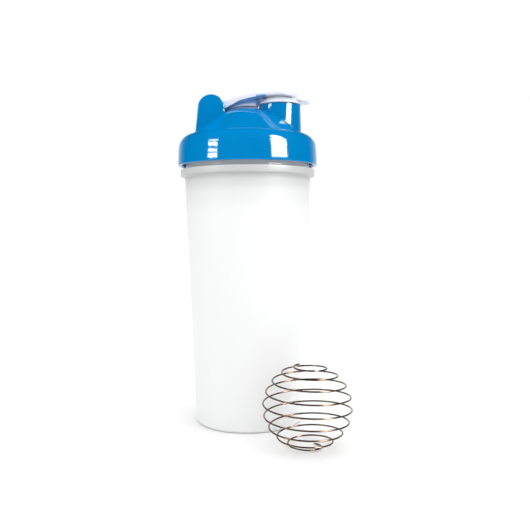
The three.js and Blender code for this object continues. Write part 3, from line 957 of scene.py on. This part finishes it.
def floor_material():
    material, nodes, links, shader = new_material("floor_pale")
    tone = noise(nodes, links, 4, 2)
    colour = blended(nodes, links, tone, (0.84, 0.84, 0.84), (0.85, 0.85, 0.85))
    links.new(colour, shader.inputs["Base Color"])
    shader.inputs["Roughness"].default_value = 0.6
    shader.inputs["Specular IOR Level"].default_value = 0
    return material


def make_floor():
    reach = 6000
    corners = [(-reach, -reach, 0), (reach, -reach, 0), (reach, reach, 0), (-reach, reach, 0)]
    floor = mesh_object("floor", corners, [(0, 1, 2, 3)])
    floor.data.materials.append(floor_material())


# Studio: how the white surroundings brighten to the right and upwards.
SIDE_SLOPE, SIDE_LEVEL = 0.12, 0.97
UPWARD_SLOPE = 0.4

# Softbox and window: azimuth in degrees, width and distance in metres, elevations in degrees.
SOFTBOX = {"azimuth": 53.5, "width": 0.58, "distance": 1.2, "from": 7.7, "to": 26, "radiance": 26}
SOFTBOX_TOP = {"azimuth": 55, "width": 0.4, "distance": 1.2, "from": 12, "to": 50, "radiance": 26}
WINDOW = {"azimuth": -55.5, "width": 0.29, "distance": 1.0}
WINDOW_BARS = ((7.4, 9.6, 30), (10.5, 11.8, 30), (13.4, 15.3, 30), (16.8, 24, 16))


def make_world():
    """A white cyclorama, brighter from above and from the right.

    Reflections see it low behind the bottle only: the studio is dark in front and to the sides.
    """
    world = bpy.data.worlds.new("studio")
    scene.world = world
    world.use_nodes = True
    nodes, links = world.node_tree.nodes, world.node_tree.links
    background = nodes["Background"]
    background.inputs["Color"].default_value = (1, 1, 1, 1)
    direction = nodes.new("ShaderNodeSeparateXYZ")
    links.new(nodes.new("ShaderNodeTexCoord").outputs["Generated"], direction.inputs["Vector"])
    kind = nodes.new("ShaderNodeLightPath")
    rightwards = scaled(nodes, links, direction.outputs["X"], SIDE_SLOPE, SIDE_LEVEL)
    upwards = scaled(nodes, links, direction.outputs["Z"], UPWARD_SLOPE, 0.0)
    light = combined(nodes, links, "ADD", rightwards, upwards)
    behind = ranged(nodes, links, direction.outputs["Y"], 0.5, 1.0)
    low_down = ranged(nodes, links, direction.outputs["Z"], 0.5, 0.15)
    backdrop = combined(nodes, links, "MULTIPLY", behind, low_down)
    strength = light
    for ray, value in (("Is Glossy Ray", backdrop), ("Is Camera Ray", None)):
        mix = nodes.new("ShaderNodeMix")
        links.new(kind.outputs[ray], mix.inputs["Factor"])
        links.new(strength, mix.inputs["A"])
        if value:
            links.new(value, mix.inputs["B"])
        else:
            mix.inputs["B"].default_value = 1.0
        strength = mix.outputs["Result"]
    links.new(strength, background.inputs["Strength"])


def scaled(nodes, links, value, factor, offset):
    made = nodes.new("ShaderNodeMath")
    made.operation = "MULTIPLY_ADD"
    made.inputs[1].default_value = factor
    made.inputs[2].default_value = offset
    links.new(value, made.inputs[0])
    return made.outputs["Value"]


def area_light(name, azimuth, elevation, distance, size, radiance, seen_in):
    """A light aimed at the lid, seen in gloss or in diffuse light. Azimuth is from -Y to +X."""
    target = Vector((0, 0, SKIRT_Z)) * MM
    a, e = radians(azimuth), radians(elevation)
    direction = Vector((sin(a) * cos(e), -cos(a) * cos(e), sin(e)))
    data = bpy.data.lights.new(name, "AREA")
    data.shape = "RECTANGLE"
    data.size, data.size_y = size
    data.energy = radiance * pi * size[0] * size[1]
    light = bpy.data.objects.new(name, data)
    scene.collection.objects.link(light)
    light.matrix_world = facing(target + direction * distance, direction)
    light.visible_camera = False
    light.visible_glossy = seen_in != "diffuse"
    light.visible_diffuse = light.visible_transmission = seen_in != "gloss"
    return light


def band(low, high, distance):
    """Elevation of the middle of a light between two elevations, and its height."""
    return (low + high) / 2, 2 * distance * tan(radians(high - low) / 2)


def facing(place, backwards):
    """A transform at a place whose -Z axis points away from backwards, with its Y axis upwards."""
    z = backwards.normalized()
    x = Vector((0, 0, 1)).cross(z).normalized()
    y = z.cross(x)
    return Matrix.Translation(place) @ Matrix((x, y, z)).transposed().to_4x4()


def strip_light(name, place, low, high, radiance):
    """A light between two elevations that shows in glossy reflections only."""
    middle, height = band(low, high, place["distance"])
    size = (place["width"], height)
    return area_light(name, place["azimuth"], middle, place["distance"], size, radiance, "gloss")


def make_lights():
    """Softbox and window bars for the highlights, and three wide fills for the shading."""
    make_world()
    strip_light("softbox_right", SOFTBOX, SOFTBOX["from"], SOFTBOX["to"], SOFTBOX["radiance"])
    top = strip_light(
        "softbox_right_top", SOFTBOX_TOP, SOFTBOX_TOP["from"], SOFTBOX_TOP["to"], SOFTBOX_TOP["radiance"])
    top.data.shape = "ELLIPSE"
    for low, high, radiance in WINDOW_BARS:
        strip_light("window_left", WINDOW, low, high, radiance)
    area_light("fill_right", 60, 50, 1.5, (1.2, 1.6), 0.25, "diffuse")
    area_light("fill_front", -40, -8, 1.6, (1.4, 1.4), 0.5, "diffuse")
    area_light("overhead", 0, 72, 1.2, (1.4, 1.4), 0.35, "diffuse")


def make_camera():
    """A camera in front, about two thirds of the way up the cup, tilted slightly down."""
    focal_px, image_px, sensor_mm = 660, 530, 36
    place = Vector((11.55, -458.4, 132.3)) * MM
    pitch, roll = 0.05326, -0.00606
    data = bpy.data.cameras.new("camera")
    data.sensor_width = sensor_mm
    data.lens = focal_px / image_px * sensor_mm
    camera = bpy.data.objects.new("camera", data)
    scene.collection.objects.link(camera)
    forward = Vector((0, cos(pitch), -sin(pitch)))
    up = Vector((0, sin(pitch), cos(pitch)))
    right = Vector((1, 0, 0))
    rolled_right = right * cos(roll) + up * sin(roll)
    rolled_up = up * cos(roll) - right * sin(roll)
    axes = Matrix((rolled_right, rolled_up, -forward)).transposed().to_4x4()
    camera.matrix_world = Matrix.Translation(place) @ axes
    scene.camera = camera


scene.view_settings.view_transform = "Standard"
make_camera()
make_cup()
make_lid()
make_seal_ring()
make_plug()
make_flip_cap()
make_whisk_ball()
make_floor()
make_lights()
